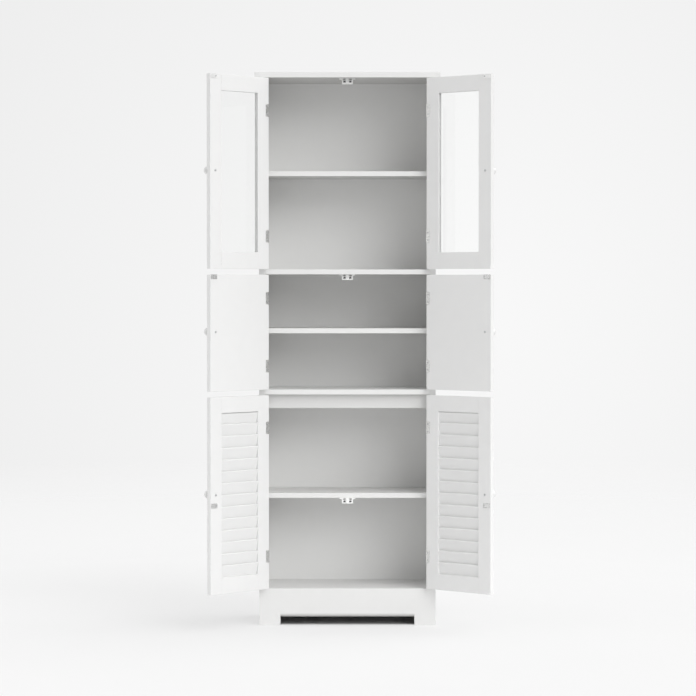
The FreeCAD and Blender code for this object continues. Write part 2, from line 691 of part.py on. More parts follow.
def door_leaf(z_middle):
    """The leaf that runs along the door's hinge edge and wraps onto its inner face."""
    x_span = (DOOR_HINGE_EDGE - LEAF_THICKNESS, DOOR_HINGE_EDGE)
    z_span = (z_middle - HINGE_HEIGHT / 2, z_middle + HINGE_HEIGHT / 2)
    edge_plate = box(x_span, (FRONT, DOOR_INNER + LEAF_THICKNESS), z_span)
    wrap = box((x_span[0], DOOR_HINGE_EDGE + WRAP_WIDTH),
               (DOOR_INNER, DOOR_INNER + LEAF_THICKNESS), z_span)
    wrap = eased(wrap, WRAP_CORNER, lambda edge: runs_along(edge, Y_AXIS)
                 and edge.CenterOfMass.x > DOOR_HINGE_EDGE)
    return hinge_leaf(z_middle, edge_plate.fuse(wrap), x_span, 0)


def hinge_pin(z_middle):
    low = z_middle - HINGE_HEIGHT / 2
    centre = vector(-AXIS_X, AXIS_Y, low)
    shank = rod(HINGE_PIN_RADIUS, centre, Z_AXIS, HINGE_HEIGHT)
    foot = rod(PIN_HEAD_RADIUS, centre - Z_AXIS * PIN_HEAD_HEIGHT, Z_AXIS, PIN_HEAD_HEIGHT)
    head = rod(PIN_HEAD_RADIUS, centre + Z_AXIS * HINGE_HEIGHT, Z_AXIS, PIN_HEAD_HEIGHT)
    return shank.fuse([foot, head]).removeSplitter()


def hinge_heights(tier):
    low, high, end_distance = TIERS[tier]
    return (low + DOOR_END_GAP + end_distance, high - DOOR_END_GAP - end_distance)


def hinge_screw_heights(z_middle):
    return (z_middle - LEAF_SCREW_SPACING / 2, z_middle + LEAF_SCREW_SPACING / 2)


def make_fixed_hinges():
    leaves, pins, screws, leaf_bores = [], [], [], []
    seat_x = -INSIDE_X + LEAF_THICKNESS
    seat_y = FRONT + (DOOR_THICKNESS + FIXED_LEAF_DEPTH) / 2
    for tier in TIERS:
        for z_middle in hinge_heights(tier):
            leaves.append(fixed_leaf(z_middle))
            pins.append(hinge_pin(z_middle))
            for z in hinge_screw_heights(z_middle):
                seat = vector(seat_x, seat_y, z)
                screws.append(screw(seat, X_AXIS * -1))
                leaf_bores.append(screw_bore(seat, X_AXIS * -1))
    add("hinge_fixed_leaves", *both_sides(leaves))
    add("hinge_pins", *both_sides(pins))
    add("carcass_screws", *both_sides(screws))
    drill("hinge_fixed_leaves", *both_sides(leaf_bores))
    drill("side_panel_left", *leaf_bores)
    drill("side_panel_right", *[mirrored(bore) for bore in leaf_bores])


# --- Magnetic catches ---------------------------------------------------------------------
def make_catches():
    """A double catch for each pair of doors: one magnet between two poles for each door."""
    for carrier, top in CATCH_CARRIERS.values():
        body_z = (top - CATCH_HEIGHT, top)
        body_y = (CATCH_FACE, CATCH_FACE + CATCH_DEPTH)
        body = box((-CATCH_WIDTH / 2, CATCH_WIDTH / 2), body_y, body_z)
        body = eased(body, CATCH_CORNER, lambda edge: runs_along(edge, Y_AXIS)
                     and edge.CenterOfMass.z < top - CATCH_CORNER)
        ears = box((-CATCH_EAR_WIDTH / 2, CATCH_EAR_WIDTH / 2), body_y,
                   (top - CATCH_EAR_HEIGHT, top))
        ears = eased(ears, CATCH_CORNER, lambda edge: runs_along(edge, Z_AXIS))
        add("catch_housings", body.fuse(ears).removeSplitter())
        pole_y = (POLE_FACE, CATCH_FACE + CATCH_DEPTH / 2)
        stack = MAGNET_HEIGHT + 2 * POLE_HEIGHT
        middle = top - CATCH_EAR_HEIGHT - (CATCH_HEIGHT - CATCH_EAR_HEIGHT) / 2
        for sign in (-1, 1):
            x_span = (sign * POLE_SPACING_X / 2 - POLE_WIDTH / 2,
                      sign * POLE_SPACING_X / 2 + POLE_WIDTH / 2)
            magnet_z = (middle - MAGNET_HEIGHT / 2, middle + MAGNET_HEIGHT / 2)
            magnet_y = (CATCH_FACE + POLE_PROUD, pole_y[1])
            add("catch_magnets", box(x_span, magnet_y, magnet_z))
            for pole_z in ((middle - stack / 2, magnet_z[0]), (magnet_z[1], middle + stack / 2)):
                add("catch_pole_plates", box(x_span, pole_y, pole_z))
            drill("catch_housings", box((x_span[0] - FIT, x_span[1] + FIT),
                                        (POLE_FACE - OVERCUT, pole_y[1] + FIT),
                                        (middle - stack / 2 - FIT, middle + stack / 2 + FIT)))
            ear_x = sign * (CATCH_WIDTH + CATCH_EAR_WIDTH) / 4
            seat = vector(ear_x, (body_y[0] + body_y[1]) / 2, top - CATCH_EAR_HEIGHT)
            fix_with_screw("carcass_screws", seat, Z_AXIS, ("catch_housings", carrier))


# --- A whole door -------------------------------------------------------------------------
def knob_height(tier, z_low, z_high, strike_z):
    """Just above the door's middle, or further from the strike plate where that is too near.

    The lower doors' strike plates, which meet the shelf's catch, are below the knob.
    """
    middle = (z_low + z_high) / 2 + KNOB_ABOVE_MIDDLE
    clear = STRIKE_HEIGHT / 2 + KNOB_STRIKE_CLEARANCE + KNOB_SCREW_HEAD_RADIUS
    return max(middle, strike_z + clear) if tier == "lower" else min(middle, strike_z - clear)


def make_door(tier, side):
    """Build one door closed on the left, mirror it if it hangs on the right, and open it."""
    low, high, _ = TIERS[tier]
    z_low, z_high = low + DOOR_END_GAP, high - DOOR_END_GAP
    name = tier + "_" + side
    pieces, cuts = {}, []
    if tier == "middle":
        slab = box((DOOR_HINGE_EDGE, DOOR_FREE_EDGE), (FRONT, DOOR_INNER), (z_low, z_high))
        body = "panel_" + name
        pieces[body] = [eased(slab, EASED_EDGE, lambda edge: True)]
    else:
        body = "frame_" + name
        pieces[body] = door_frame(tier, z_low, z_high)
    if tier == "upper":
        pieces["glass_" + name] = [glass_pane(z_low, z_high)]
        cuts.append(glass_pane(z_low, z_high, FIT))
    if tier == "lower":
        pieces["slats_" + name] = louvre_slats(z_low, z_high)
        cuts.extend(louvre_slats(z_low, z_high, FIT))

    strike_z = CATCH_CARRIERS[tier][1] - STRIKE_DROP
    knob_z = knob_height(tier, z_low, z_high, strike_z)
    knob_x = DOOR_FREE_EDGE - KNOB_EDGE_DISTANCE
    pieces["knob_" + name] = [placed(knob(), vector(knob_x, FRONT, knob_z), Y_AXIS * -1)]
    screws = [knob_screw(vector(knob_x, DOOR_INNER, knob_z))]
    cuts.append(rod(KNOB_SCREW_RADIUS + FIT, vector(knob_x, DOOR_INNER, knob_z),
                    Y_AXIS * -1, DOOR_THICKNESS))

    leaves, leaf_bores = [], []
    for hinge_z in hinge_heights(tier):
        leaves.append(door_leaf(hinge_z))
        for z in hinge_screw_heights(hinge_z):
            seat = vector(DOOR_HINGE_EDGE + WRAP_WIDTH / 2, DOOR_INNER + LEAF_THICKNESS, z)
            screws.append(screw(seat, Y_AXIS * -1))
            leaf_bores.append(screw_bore(seat, Y_AXIS * -1))
    cuts.extend(leaf_bores)
    pieces["hinge_leaves_" + name] = [leaf.cut(leaf_bores) for leaf in leaves]

    strike_right = DOOR_FREE_EDGE - STRIKE_EDGE_DISTANCE
    strike = box((strike_right - STRIKE_WIDTH, strike_right),
                 (DOOR_INNER, DOOR_INNER + STRIKE_THICKNESS),
                 (strike_z - STRIKE_HEIGHT / 2, strike_z + STRIKE_HEIGHT / 2))
    strike_seat = vector(DOOR_FREE_EDGE - STRIKE_SCREW_DISTANCE,
                         DOOR_INNER + STRIKE_THICKNESS, strike_z)
    screws.append(screw(strike_seat, Y_AXIS * -1))
    strike_bore = screw_bore(strike_seat, Y_AXIS * -1)
    cuts.append(strike_bore)
    pieces["strike_plate_" + name] = [strike.cut(strike_bore)]
    pieces["screws_" + name] = screws
    pieces[body] = [piece.cut(cuts) for piece in pieces[body]]

    angle = -LEFT_DOOR_ANGLE if side == "left" else RIGHT_DOOR_ANGLE
    axis_x = -AXIS_X if side == "left" else AXIS_X
    for node, shapes in pieces.items():
        for shape in shapes:
            hung = shape if side == "left" else mirrored(shape)
            hung.rotate(vector(axis_x, AXIS_Y, 0), Z_AXIS, angle)
            add(node, hung)


def write_node(node):
    """Cut the node's bores and write its solids to one STEP file."""
    shapes = solids[node]
    if node in bores:
        shapes = [shape.cut(bores[node]) for shape in shapes]
    parts = [solid for shape in shapes for solid in shape.Solids]
    for part in parts:
        if not part.isValid():
            print("not valid:", node)
    Part.makeCompound(parts).exportStep(os.path.join("parts", node + ".step"))
    print(f"{node}: {len(parts)} solid(s), {sum(part.Volume for part in parts) / 1000:.1f} cm3")


def main():
    make_carcass()
    join_carcass()
    make_back()
    make_shelves()
    make_fixed_hinges()
    make_catches()
    for tier in TIERS:
        for side in ("left", "right"):
            make_door(tier, side)
    os.makedirs("parts", exist_ok=True)
    for node in solids:
        write_node(node)
    print(len(solids), "nodes,", TOP_UNDER + TOP_THICKNESS, "mm tall")


main()
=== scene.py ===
# %% [markdown]
# # A tall louvred door cabinet
#
# The cabinet is flat-pack joinery in white sprayed fibreboard: a narrow carcass on a low base,
# three shelves, and three tiers of double doors that stand open. The CAD model already holds
# every board, door, hinge, pin and screw in its true place, so this lesson is mostly about
# finish: how to give white boards, foil, steel and glass a surface that looks real in plain
# studio light. Small parts that CAD keeps simple, such as screw heads and the moulded magnetic
# catches, are made again in mesh code and take the CAD parts' places.

import json
import math

import bmesh
import bpy
import numpy as np
from mathutils import Matrix, Vector


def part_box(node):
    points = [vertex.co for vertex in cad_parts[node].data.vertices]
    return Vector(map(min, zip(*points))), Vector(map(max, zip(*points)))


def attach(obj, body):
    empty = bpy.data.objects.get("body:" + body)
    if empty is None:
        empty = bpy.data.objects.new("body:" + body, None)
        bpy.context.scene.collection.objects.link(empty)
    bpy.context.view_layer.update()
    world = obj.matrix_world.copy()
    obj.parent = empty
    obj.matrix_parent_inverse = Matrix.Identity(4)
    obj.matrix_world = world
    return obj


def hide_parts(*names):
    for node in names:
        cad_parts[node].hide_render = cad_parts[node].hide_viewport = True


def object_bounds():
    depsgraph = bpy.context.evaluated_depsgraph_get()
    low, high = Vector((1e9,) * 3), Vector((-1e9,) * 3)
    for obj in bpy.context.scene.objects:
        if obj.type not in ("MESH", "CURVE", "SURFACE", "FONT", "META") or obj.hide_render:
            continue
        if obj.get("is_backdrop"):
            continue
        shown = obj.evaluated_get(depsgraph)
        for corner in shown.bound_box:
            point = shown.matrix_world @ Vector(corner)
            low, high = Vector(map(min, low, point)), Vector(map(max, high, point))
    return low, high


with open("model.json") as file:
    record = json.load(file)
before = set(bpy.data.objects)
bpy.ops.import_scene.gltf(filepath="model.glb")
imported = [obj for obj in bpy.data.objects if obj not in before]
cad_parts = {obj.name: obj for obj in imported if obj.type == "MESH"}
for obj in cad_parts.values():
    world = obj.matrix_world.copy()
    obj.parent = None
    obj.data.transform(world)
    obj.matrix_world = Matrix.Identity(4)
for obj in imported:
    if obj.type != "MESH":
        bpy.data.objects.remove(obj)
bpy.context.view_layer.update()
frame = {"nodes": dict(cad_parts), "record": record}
nodes = frame["nodes"]

# %% [markdown]
# ## Camera
#
# A product shot of a tall, straight-sided thing is taken from far away with a long lens, so
# that its uprights stay nearly parallel. The camera stands almost nine metres in front of the
# doors, a little above the middle of the cabinet, and looks down by just over one degree. That
# small tilt frames the cabinet without any lens shift.

# %% Camera
CAMERA_PLACE = (0.0019, -9.083, 1.107)
CAMERA_TILT = math.radians(1.318)
CAMERA_LENS = 139.88

camera_data = bpy.data.cameras.new("camera")
camera_data.lens = CAMERA_LENS
camera_data.sensor_width = 36.0
camera = bpy.data.objects.new("camera", camera_data)
camera.location = CAMERA_PLACE
camera.rotation_euler = (math.pi / 2 - CAMERA_TILT, 0.0, 0.0)
bpy.context.scene.collection.objects.link(camera)
bpy.context.scene.camera = camera
carcass_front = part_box("side_panel_left")[0].y
print("camera to carcass front:", round(carcass_front - CAMERA_PLACE[1], 3), "m")

# %% [markdown]
# ## Helpers for shader nodes
#
# A procedural material is a small graph. Adding a node, setting its sockets and wiring it takes
# three or four lines each time, so one helper does all of it: a plain value sets a socket, and
# an output socket of another node is linked to it. A second helper opens a node group with named
# sockets, for effects that several finishes share.

# %% Shader helpers
def put(tree, kind, sockets, **settings):
    """Add a shader node. sockets maps a socket's name or number to a value or to an output."""
    node = tree.nodes.new("ShaderNode" + kind)
    for key, value in settings.items():
        setattr(node, key, value)
    for key, value in sockets.items():
        if isinstance(value, bpy.types.NodeSocket):
            tree.links.new(value, node.inputs[key])
        else:
            node.inputs[key].default_value = value
    return node


def number(tree, operation, first, second):
    """The output of a Math node."""
    return put(tree, "Math", {0: first, 1: second}, operation=operation).outputs[0]


def tinted(tree, factor, first, second, blend="MIX"):
    """The colour output of a Mix node."""
    mix = put(tree, "Mix", {0: factor, 6: first, 7: second}, data_type="RGBA", blend_type=blend)
    return mix.outputs[2]


def ranged(tree, value, low, high, to_low, to_high):
    """The output of a clamped Map Range node."""
    return put(tree, "MapRange", {0: value, 1: low, 2: high, 3: to_low, 4: to_high}).outputs[0]


def shader_group(name, inputs, outputs):
    """An empty node group with named sockets, and its input and output nodes."""
    tree = bpy.data.node_groups.new(name, "ShaderNodeTree")
    for label, kind, default in inputs:
        socket = tree.interface.new_socket(label, in_out="INPUT", socket_type="NodeSocket" + kind)
        if default is not None:
            socket.default_value = default
    for label, kind in outputs:
        tree.interface.new_socket(label, in_out="OUTPUT", socket_type="NodeSocket" + kind)
    return tree, tree.nodes.new("NodeGroupInput").outputs, tree.nodes.new("NodeGroupOutput")


def use_group(tree, name, sockets):
    """Place a node group in a material and return its outputs."""
    node = put(tree, "Group", {}, node_tree=bpy.data.node_groups[name])
    for key, value in sockets.items():
        if isinstance(value, bpy.types.NodeSocket):
            tree.links.new(value, node.inputs[key])
        else:
            node.inputs[key].default_value = value
    return node.outputs


# %% [markdown]
# ## Shared effect: sprayed paint
#
# Spray paint on fibreboard is never quite even. It has a fine orange-peel skin a millimetre or
# two across, and its white drifts by about one percent over a hand's width where the coat is
# thicker or thinner. The group takes the paint's colour and the point's place, and gives back a
# colour, a roughness and a height for the bump. Noise textures read the object's own
# coordinates, so the pattern stays on a door when it swings.

# %% Group: sprayed paint
def make_sprayed_paint():
    tree, given, result = shader_group(
        "sprayed_paint",
        [("Paint", "Color", (0.8, 0.8, 0.8, 1.0)), ("Place", "Vector", None),
         ("Drift", "Float", 0.02), ("Gloss", "Float", 0.45), ("Peel Size", "Float", 0.002)],
        [("Color", "Color"), ("Roughness", "Float"), ("Height", "Float")])
    cloud = put(tree, "TexNoise", {"Vector": given["Place"], "Scale": 4.0, "Detail": 3.0})
    patch = put(tree, "TexNoise", {"Vector": given["Place"], "Scale": 28.0, "Detail": 4.0})
    both = number(tree, "ADD", cloud.outputs["Fac"], patch.outputs["Fac"])
    centred = number(tree, "SUBTRACT", both, 1.0)
    swing = number(tree, "MULTIPLY", centred, given["Drift"])
    shade = number(tree, "ADD", swing, 1.0)
    grey = put(tree, "CombineColor", {0: shade, 1: shade, 2: shade})
    colour = tinted(tree, 1.0, given["Paint"], grey.outputs[0], "MULTIPLY")
    tree.links.new(colour, result.inputs["Color"])

    sheen = number(tree, "MULTIPLY", centred, 0.18)
    rough = number(tree, "ADD", sheen, given["Gloss"])
    tree.links.new(rough, result.inputs["Roughness"])

    peel_scale = number(tree, "DIVIDE", 1.0, given["Peel Size"])
    peel = put(tree, "TexNoise", {"Vector": given["Place"], "Scale": peel_scale, "Detail": 2.0})
    speck = put(tree, "TexVoronoi", {"Vector": given["Place"], "Scale": 90.0},
                feature="SMOOTH_F1")
    dust_nib = ranged(tree, speck.outputs["Distance"], 0.0, 0.06, 0.6, 0.0)
    height = number(tree, "ADD", peel.outputs["Fac"], dust_nib)
    tree.links.new(height, result.inputs["Height"])


make_sprayed_paint()
print("groups:", [group.name for group in bpy.data.node_groups])

# %% [markdown]
# ## Shared effect: softened edges
#
# No real board has a razor edge. Sanding and paint round it by a fraction of a millimetre, the
# round catches a thin line of light, and hands rub it first. The Bevel node gives the normal
# that a rounded edge would have, without more geometry. How far that normal leans away from the
# flat face's own normal is a mask of the edges, which a little noise breaks up. The paint uses
# the mask for wear; the metals use it for a painted shade along their rims.

# %% Group: softened edges
def make_soft_edges():
    tree, given, result = shader_group(
        "soft_edges",
        [("Place", "Vector", None), ("Radius", "Float", 0.0006)],
        [("Normal", "Vector"), ("Rub And Rim Shade", "Float")])
    bevel = put(tree, "Bevel", {"Radius": given["Radius"]}, samples=4)
    face = put(tree, "NewGeometry", {})
    lean = put(tree, "VectorMath", {0: bevel.outputs[0], 1: face.outputs["Normal"]},
               operation="DOT_PRODUCT")
    edge = ranged(tree, lean.outputs["Value"], 0.98, 0.75, 0.0, 1.0)
    breakup = put(tree, "TexNoise", {"Vector": given["Place"], "Scale": 70.0, "Detail": 5.0})
    patchy = ranged(tree, breakup.outputs["Fac"], 0.42, 0.62, 0.15, 1.0)
    rub_and_rim_shade = number(tree, "MULTIPLY", edge, patchy)
    tree.links.new(bevel.outputs[0], result.inputs["Normal"])
    tree.links.new(rub_and_rim_shade, result.inputs["Rub And Rim Shade"])


make_soft_edges()
print("groups:", [group.name for group in bpy.data.node_groups])

# %% [markdown]
# ## Shared effect: dust and painted shade on tops
#
# Faces that look up hold a breath of dust, even on a new cabinet: it greys the white slightly
# and takes the gloss off. On the shelves it is laid on thicker, as painted shade for their tops
# under the shelf above. The mask is how far the face looks up, times a noise with soft blots.

# %% Group: dust and painted shade on tops
def make_dust_and_painted_shade():
    tree, given, result = shader_group(
        "dust_and_painted_shade",
        [("Place", "Vector", None), ("Amount", "Float", 0.3)],
        [("Mask", "Float")])
    face = put(tree, "NewGeometry", {})
    split = put(tree, "SeparateXYZ", {0: face.outputs["Normal"]})
    upward = ranged(tree, split.outputs["Z"], 0.4, 0.95, 0.0, 1.0)
    blots = put(tree, "TexNoise", {"Vector": given["Place"], "Scale": 14.0, "Detail": 6.0,
                                   "Roughness": 0.65})
    cover = ranged(tree, blots.outputs["Fac"], 0.35, 0.75, 0.3, 1.0)
    there = number(tree, "MULTIPLY", upward, cover)
    mask = number(tree, "MULTIPLY", there, given["Amount"])
    tree.links.new(mask, result.inputs["Mask"])


make_dust_and_painted_shade()
print("groups:", [group.name for group in bpy.data.node_groups])

# %% [markdown]
# ## Shared effect: painted shade on undersides
#
# Faces that look down are painted towards a grey, more in some blots than in others, to stand in
# for the shade under a top, a divider or a shelf. The mask is how far a face looks down.

# %% Group: painted underside shade
def make_underside_shade():
    tree, given, result = shader_group(
        "underside_shade",
        [("Place", "Vector", None), ("Amount", "Float", 0.5)],
        [("Mask", "Float")])
    face = put(tree, "NewGeometry", {})
    split = put(tree, "SeparateXYZ", {0: face.outputs["Normal"]})
    downward = ranged(tree, split.outputs["Z"], -0.95, -0.5, 1.0, 0.0)
    blots = put(tree, "TexNoise", {"Vector": given["Place"], "Scale": 9.0, "Detail": 5.0})
    cover = ranged(tree, blots.outputs["Fac"], 0.3, 0.7, 0.85, 1.0)
    there = number(tree, "MULTIPLY", downward, cover)
    mask = number(tree, "MULTIPLY", there, given["Amount"])
    tree.links.new(mask, result.inputs["Mask"])


make_underside_shade()
print("groups:", [group.name for group in bpy.data.node_groups])

# %% [markdown]
# ## Shared effect: rolled and plated metal
#
# Stamped hinges, screws and strike plates come from rolled or drawn stock, and their plating
# keeps its faint lines. A noise stretched along one direction makes the lines, a second, even
# noise makes the cloudy patches that zinc and nickel show. Both go to colour and roughness.

# %% Group: rolled metal
def make_rolled_metal():
    tree, given, result = shader_group(
        "rolled_metal",
        [("Metal", "Color", (0.6, 0.6, 0.6, 1.0)), ("Place", "Vector", None),
         ("Gloss", "Float", 0.35), ("Lines", "Float", 0.1)],
        [("Color", "Color"), ("Roughness", "Float"), ("Height", "Float")])
    stretched = put(tree, "Mapping", {"Vector": given["Place"], "Scale": (3000.0, 3000.0, 60.0)})
    lines = put(tree, "TexNoise", {"Vector": stretched.outputs[0], "Scale": 1.0, "Detail": 3.0})
    cloud = put(tree, "TexNoise", {"Vector": given["Place"], "Scale": 220.0, "Detail": 5.0})
    mixed = number(tree, "ADD", lines.outputs["Fac"], cloud.outputs["Fac"])
    centred = number(tree, "SUBTRACT", mixed, 1.0)
    swing = number(tree, "MULTIPLY", centred, given["Lines"])
    shade = number(tree, "ADD", swing, 1.0)
    grey = put(tree, "CombineColor", {0: shade, 1: shade, 2: shade})
    colour = tinted(tree, 1.0, given["Metal"], grey.outputs[0], "MULTIPLY")
    tree.links.new(colour, result.inputs["Color"])
    rough = number(tree, "ADD", number(tree, "MULTIPLY", centred, 0.3), given["Gloss"])
    tree.links.new(rough, result.inputs["Roughness"])
    tree.links.new(lines.outputs["Fac"], result.inputs["Height"])


make_rolled_metal()
print("groups:", [group.name for group in bpy.data.node_groups])

# %% [markdown]
# ## Putting a finish on the CAD parts
#
# Every CAD node carries a material named after its slot in the part's record. A finish is made
# as a new material and takes that one's place in each node's material slots, so one call dresses
# every board or every hinge at once.

# %% Helpers for finishes
finishes = {}


def new_finish(slot, name):
    """A material with a lone Principled shader, kept under the name of its slot or variant."""
    material = bpy.data.materials.new(name)
    material.use_nodes = True
    finishes[slot] = material
    tree = material.node_tree
    place = put(tree, "TexCoord", {}).outputs["Object"]
    return tree, tree.nodes["Principled BSDF"], place


def bump_into(tree, shader, height, strength, depth, normal=None):
    """Feed a height into the shader's Normal, on top of a given normal if there is one."""
    sockets = {"Height": height, "Strength": strength, "Distance": depth}
    if normal is not None:
        sockets["Normal"] = normal
    bump = put(tree, "Bump", sockets)
    tree.links.new(bump.outputs[0], shader.inputs["Normal"])


# %% [markdown]
# ## White paint on the boards, the shelves and the doors
#
# All three are the same white satin paint. They differ a little, as real batches do: the doors
# have the smoothest face, because they are seen most, and the shelves lie flat and collect the
# most dust, laid on thick enough to paint shade on their tops. Boards and shelves get painted
# shade on their undersides. The rail that stops the lower doors is painted a touch greyer, as
# painted shade for its place under the divider. One function makes the paint and takes what
# differs as numbers.

# %% Finish: painted boards, shelves and doors
# Painted shade: the grey that faces looking down are darkened towards, for the shade under boards
# and shelves.
UNDERSIDE_SHADE_GREY = (0.45, 0.445, 0.435, 1.0)
WORN_EDGE = (0.66, 0.65, 0.63, 1.0)
# Dust on faces that look up; on the shelf tops it is laid on thicker as painted shade.
DUST_AND_SHADE = (0.55, 0.54, 0.52, 1.0)
EDGE_SOFTNESS = 0.0008


def paint_boards(slot, name, white, gloss, peel_size, dust, underside_shade_amount):
    tree, shader, place = new_finish(slot, name)
    paint = use_group(tree, "sprayed_paint", {
        "Paint": white, "Place": place, "Drift": 0.03, "Gloss": gloss, "Peel Size": peel_size})
    edges = use_group(tree, "soft_edges", {"Place": place, "Radius": EDGE_SOFTNESS})
    # Dust, and on the shelves also painted shade, on faces that look up.
    settled = use_group(tree, "dust_and_painted_shade", {"Place": place, "Amount": dust})
    worn = tinted(tree, number(tree, "MULTIPLY", edges["Rub And Rim Shade"], 0.25), paint["Color"],
                  WORN_EDGE)
    # Painted shade on faces that look down.
    below = use_group(tree, "underside_shade", {"Place": place, "Amount": underside_shade_amount})
    lean = tinted(tree, below["Mask"], worn, UNDERSIDE_SHADE_GREY)
    dusty = tinted(tree, settled["Mask"], lean, DUST_AND_SHADE)
    tree.links.new(dusty, shader.inputs["Base Color"])
    dull = number(tree, "MULTIPLY", settled["Mask"], 0.3)
    tree.links.new(number(tree, "ADD", paint["Roughness"], dull), shader.inputs["Roughness"])
    shader.inputs["Specular IOR Level"].default_value = 0.4
    bump_into(tree, shader, paint["Height"], 0.25, 0.00004, edges["Normal"])


WHITE_BOARD = (0.78, 0.78, 0.773, 1.0)
WHITE_SHELF = (0.79, 0.79, 0.781, 1.0)
WHITE_DOOR = (0.808, 0.808, 0.804, 1.0)
# Painted shade: the stop rail sits under the lower divider and is painted greyer for the shade
# there.
WHITE_RAIL_SHADED = (0.70, 0.70, 0.692, 1.0)
# Columns: slot, finish, white, gloss, peel size, dust (also painted shade on the shelf tops),
# painted shade on undersides.
PAINTS = [  # slot, finish, white, gloss, peel size, dust, thin coat below
    ("painted_board", "white_board_paint", WHITE_BOARD, 0.42, 0.0018, 0.10, 0.72),
    ("painted_shelf", "white_shelf_paint", WHITE_SHELF, 0.46, 0.0018, 0.35, 0.72),
    ("painted_door", "white_door_paint", WHITE_DOOR, 0.38, 0.0015, 0.08, 0.0),
    ("shaded_rail", "white_rail_paint_shaded", WHITE_RAIL_SHADED, 0.46, 0.0018, 0.10, 0.72),
]
for paint in PAINTS:
    paint_boards(*paint)
print("finishes:", list(finishes))

# %% [markdown]
# ## The back sheets' white foil
#
# The back is three millimetres of fibreboard with a printed white foil, which is duller than
# paint. Its emboss is a very fine, even grain, and the sheet is never quite flat, so a broad
# slow wave goes into the bump as well.

# %% Finish: foiled back sheets
WHITE_FOIL = (0.85, 0.85, 0.842, 1.0)


def foil_back():
    tree, shader, place = new_finish("back_sheet", "white_back_foil")
    paint = use_group(tree, "sprayed_paint", {
        "Paint": WHITE_FOIL, "Place": place, "Drift": 0.02, "Gloss": 0.55, "Peel Size": 0.0009})
    wave = put(tree, "TexNoise", {"Vector": place, "Scale": 5.0, "Detail": 1.0})
    height = number(tree, "ADD", paint["Height"],
                    number(tree, "MULTIPLY", wave.outputs["Fac"], 12.0))
    tree.links.new(paint["Color"], shader.inputs["Base Color"])
    tree.links.new(paint["Roughness"], shader.inputs["Roughness"])
    shader.inputs["Specular IOR Level"].default_value = 0.35
    bump_into(tree, shader, height, 0.3, 0.00005)


foil_back()
print("finishes:", list(finishes))

# %% [markdown]
# ## Gloss on the knobs
#
# The turned knobs get a harder, glossier coat than the doors. A clear coat over a slightly rough
# base gives the small sharp highlight that a lacquered knob has.

# %% Finish: painted knobs
WHITE_KNOB = (0.82, 0.82, 0.815, 1.0)


def gloss_knobs():
    tree, shader, place = new_finish("painted_knob", "white_knob_lacquer")
    paint = use_group(tree, "sprayed_paint", {
        "Paint": WHITE_KNOB, "Place": place, "Drift": 0.03, "Gloss": 0.32, "Peel Size": 0.0025})
    tree.links.new(paint["Color"], shader.inputs["Base Color"])
    tree.links.new(paint["Roughness"], shader.inputs["Roughness"])
    shader.inputs["Coat Weight"].default_value = 0.6
    shader.inputs["Coat Roughness"].default_value = 0.12
    bump_into(tree, shader, paint["Height"], 0.15, 0.00004)


gloss_knobs()
print("finishes:", list(finishes))

# %% [markdown]
# ## Glass in the upper doors
#
# The panes are clear float glass, three millimetres thick, with a breath of green that only
# shows at their edges. The pane is a closed solid, so a refracting shader bends the light in and
# out as real glass does. Hands leave it slightly uneven, and that goes into the roughness.

# %% Finish: clear glass
def clear_panes():
    tree, shader, place = new_finish("clear_glass", "clear_float_glass")
    smear = put(tree, "TexNoise", {"Vector": place, "Scale": 18.0, "Detail": 4.0})
    rough = ranged(tree, smear.outputs["Fac"], 0.45, 0.75, 0.0, 0.05)
    tree.links.new(rough, shader.inputs["Roughness"])
    shader.inputs["Base Color"].default_value = (0.99, 0.994, 0.99, 1.0)
    shader.inputs["Transmission Weight"].default_value = 1.0
    shader.inputs["IOR"].default_value = 1.5


clear_panes()
print("finishes:", list(finishes))

# %% [markdown]
# ## Steel, zinc and ferrite
#
# Hinges, shelf pins, strike plates and pole plates are nickelled, and almost as light as the
# paint round them. Screws and nails are zinc-plated and darker, cam locks are cast zinc. What
# shows a light plate on a white door is its dark rim: a painted shadow along the stamped edge, for
# the shade where the plate meets the door. One function covers them all. The strike plates of the
# upper doors get a lighter copy of the finish, painted light: frosted, with hardly any rim, they
# almost vanish in the white. The magnets are sintered ferrite: nearly black, with a fine grey
# speckle.

# %% Finish: metals
RIM_SHADE = (0.06, 0.058, 0.056, 1.0)


def plate_metal(slot, name, colour, gloss, lines, rim, rim_width):
    tree, shader, place = new_finish(slot, name)
    metal = use_group(tree, "rolled_metal", {
        "Metal": colour, "Place": place, "Gloss": gloss, "Lines": lines})
    edges = use_group(tree, "soft_edges", {"Place": place, "Radius": rim_width})
    # Painted shade: a dark rim along the edges, for the shadow where a plate meets the door.
    rim_shaded = tinted(tree, ranged(tree, edges["Rub And Rim Shade"], 0.0, 0.5, 0.0, rim), metal["Color"],
                    RIM_SHADE)
    tree.links.new(rim_shaded, shader.inputs["Base Color"])
    tree.links.new(metal["Roughness"], shader.inputs["Roughness"])
    shader.inputs["Metallic"].default_value = 1.0
    bump_into(tree, shader, metal["Height"], 0.2, 0.00002, edges["Normal"])


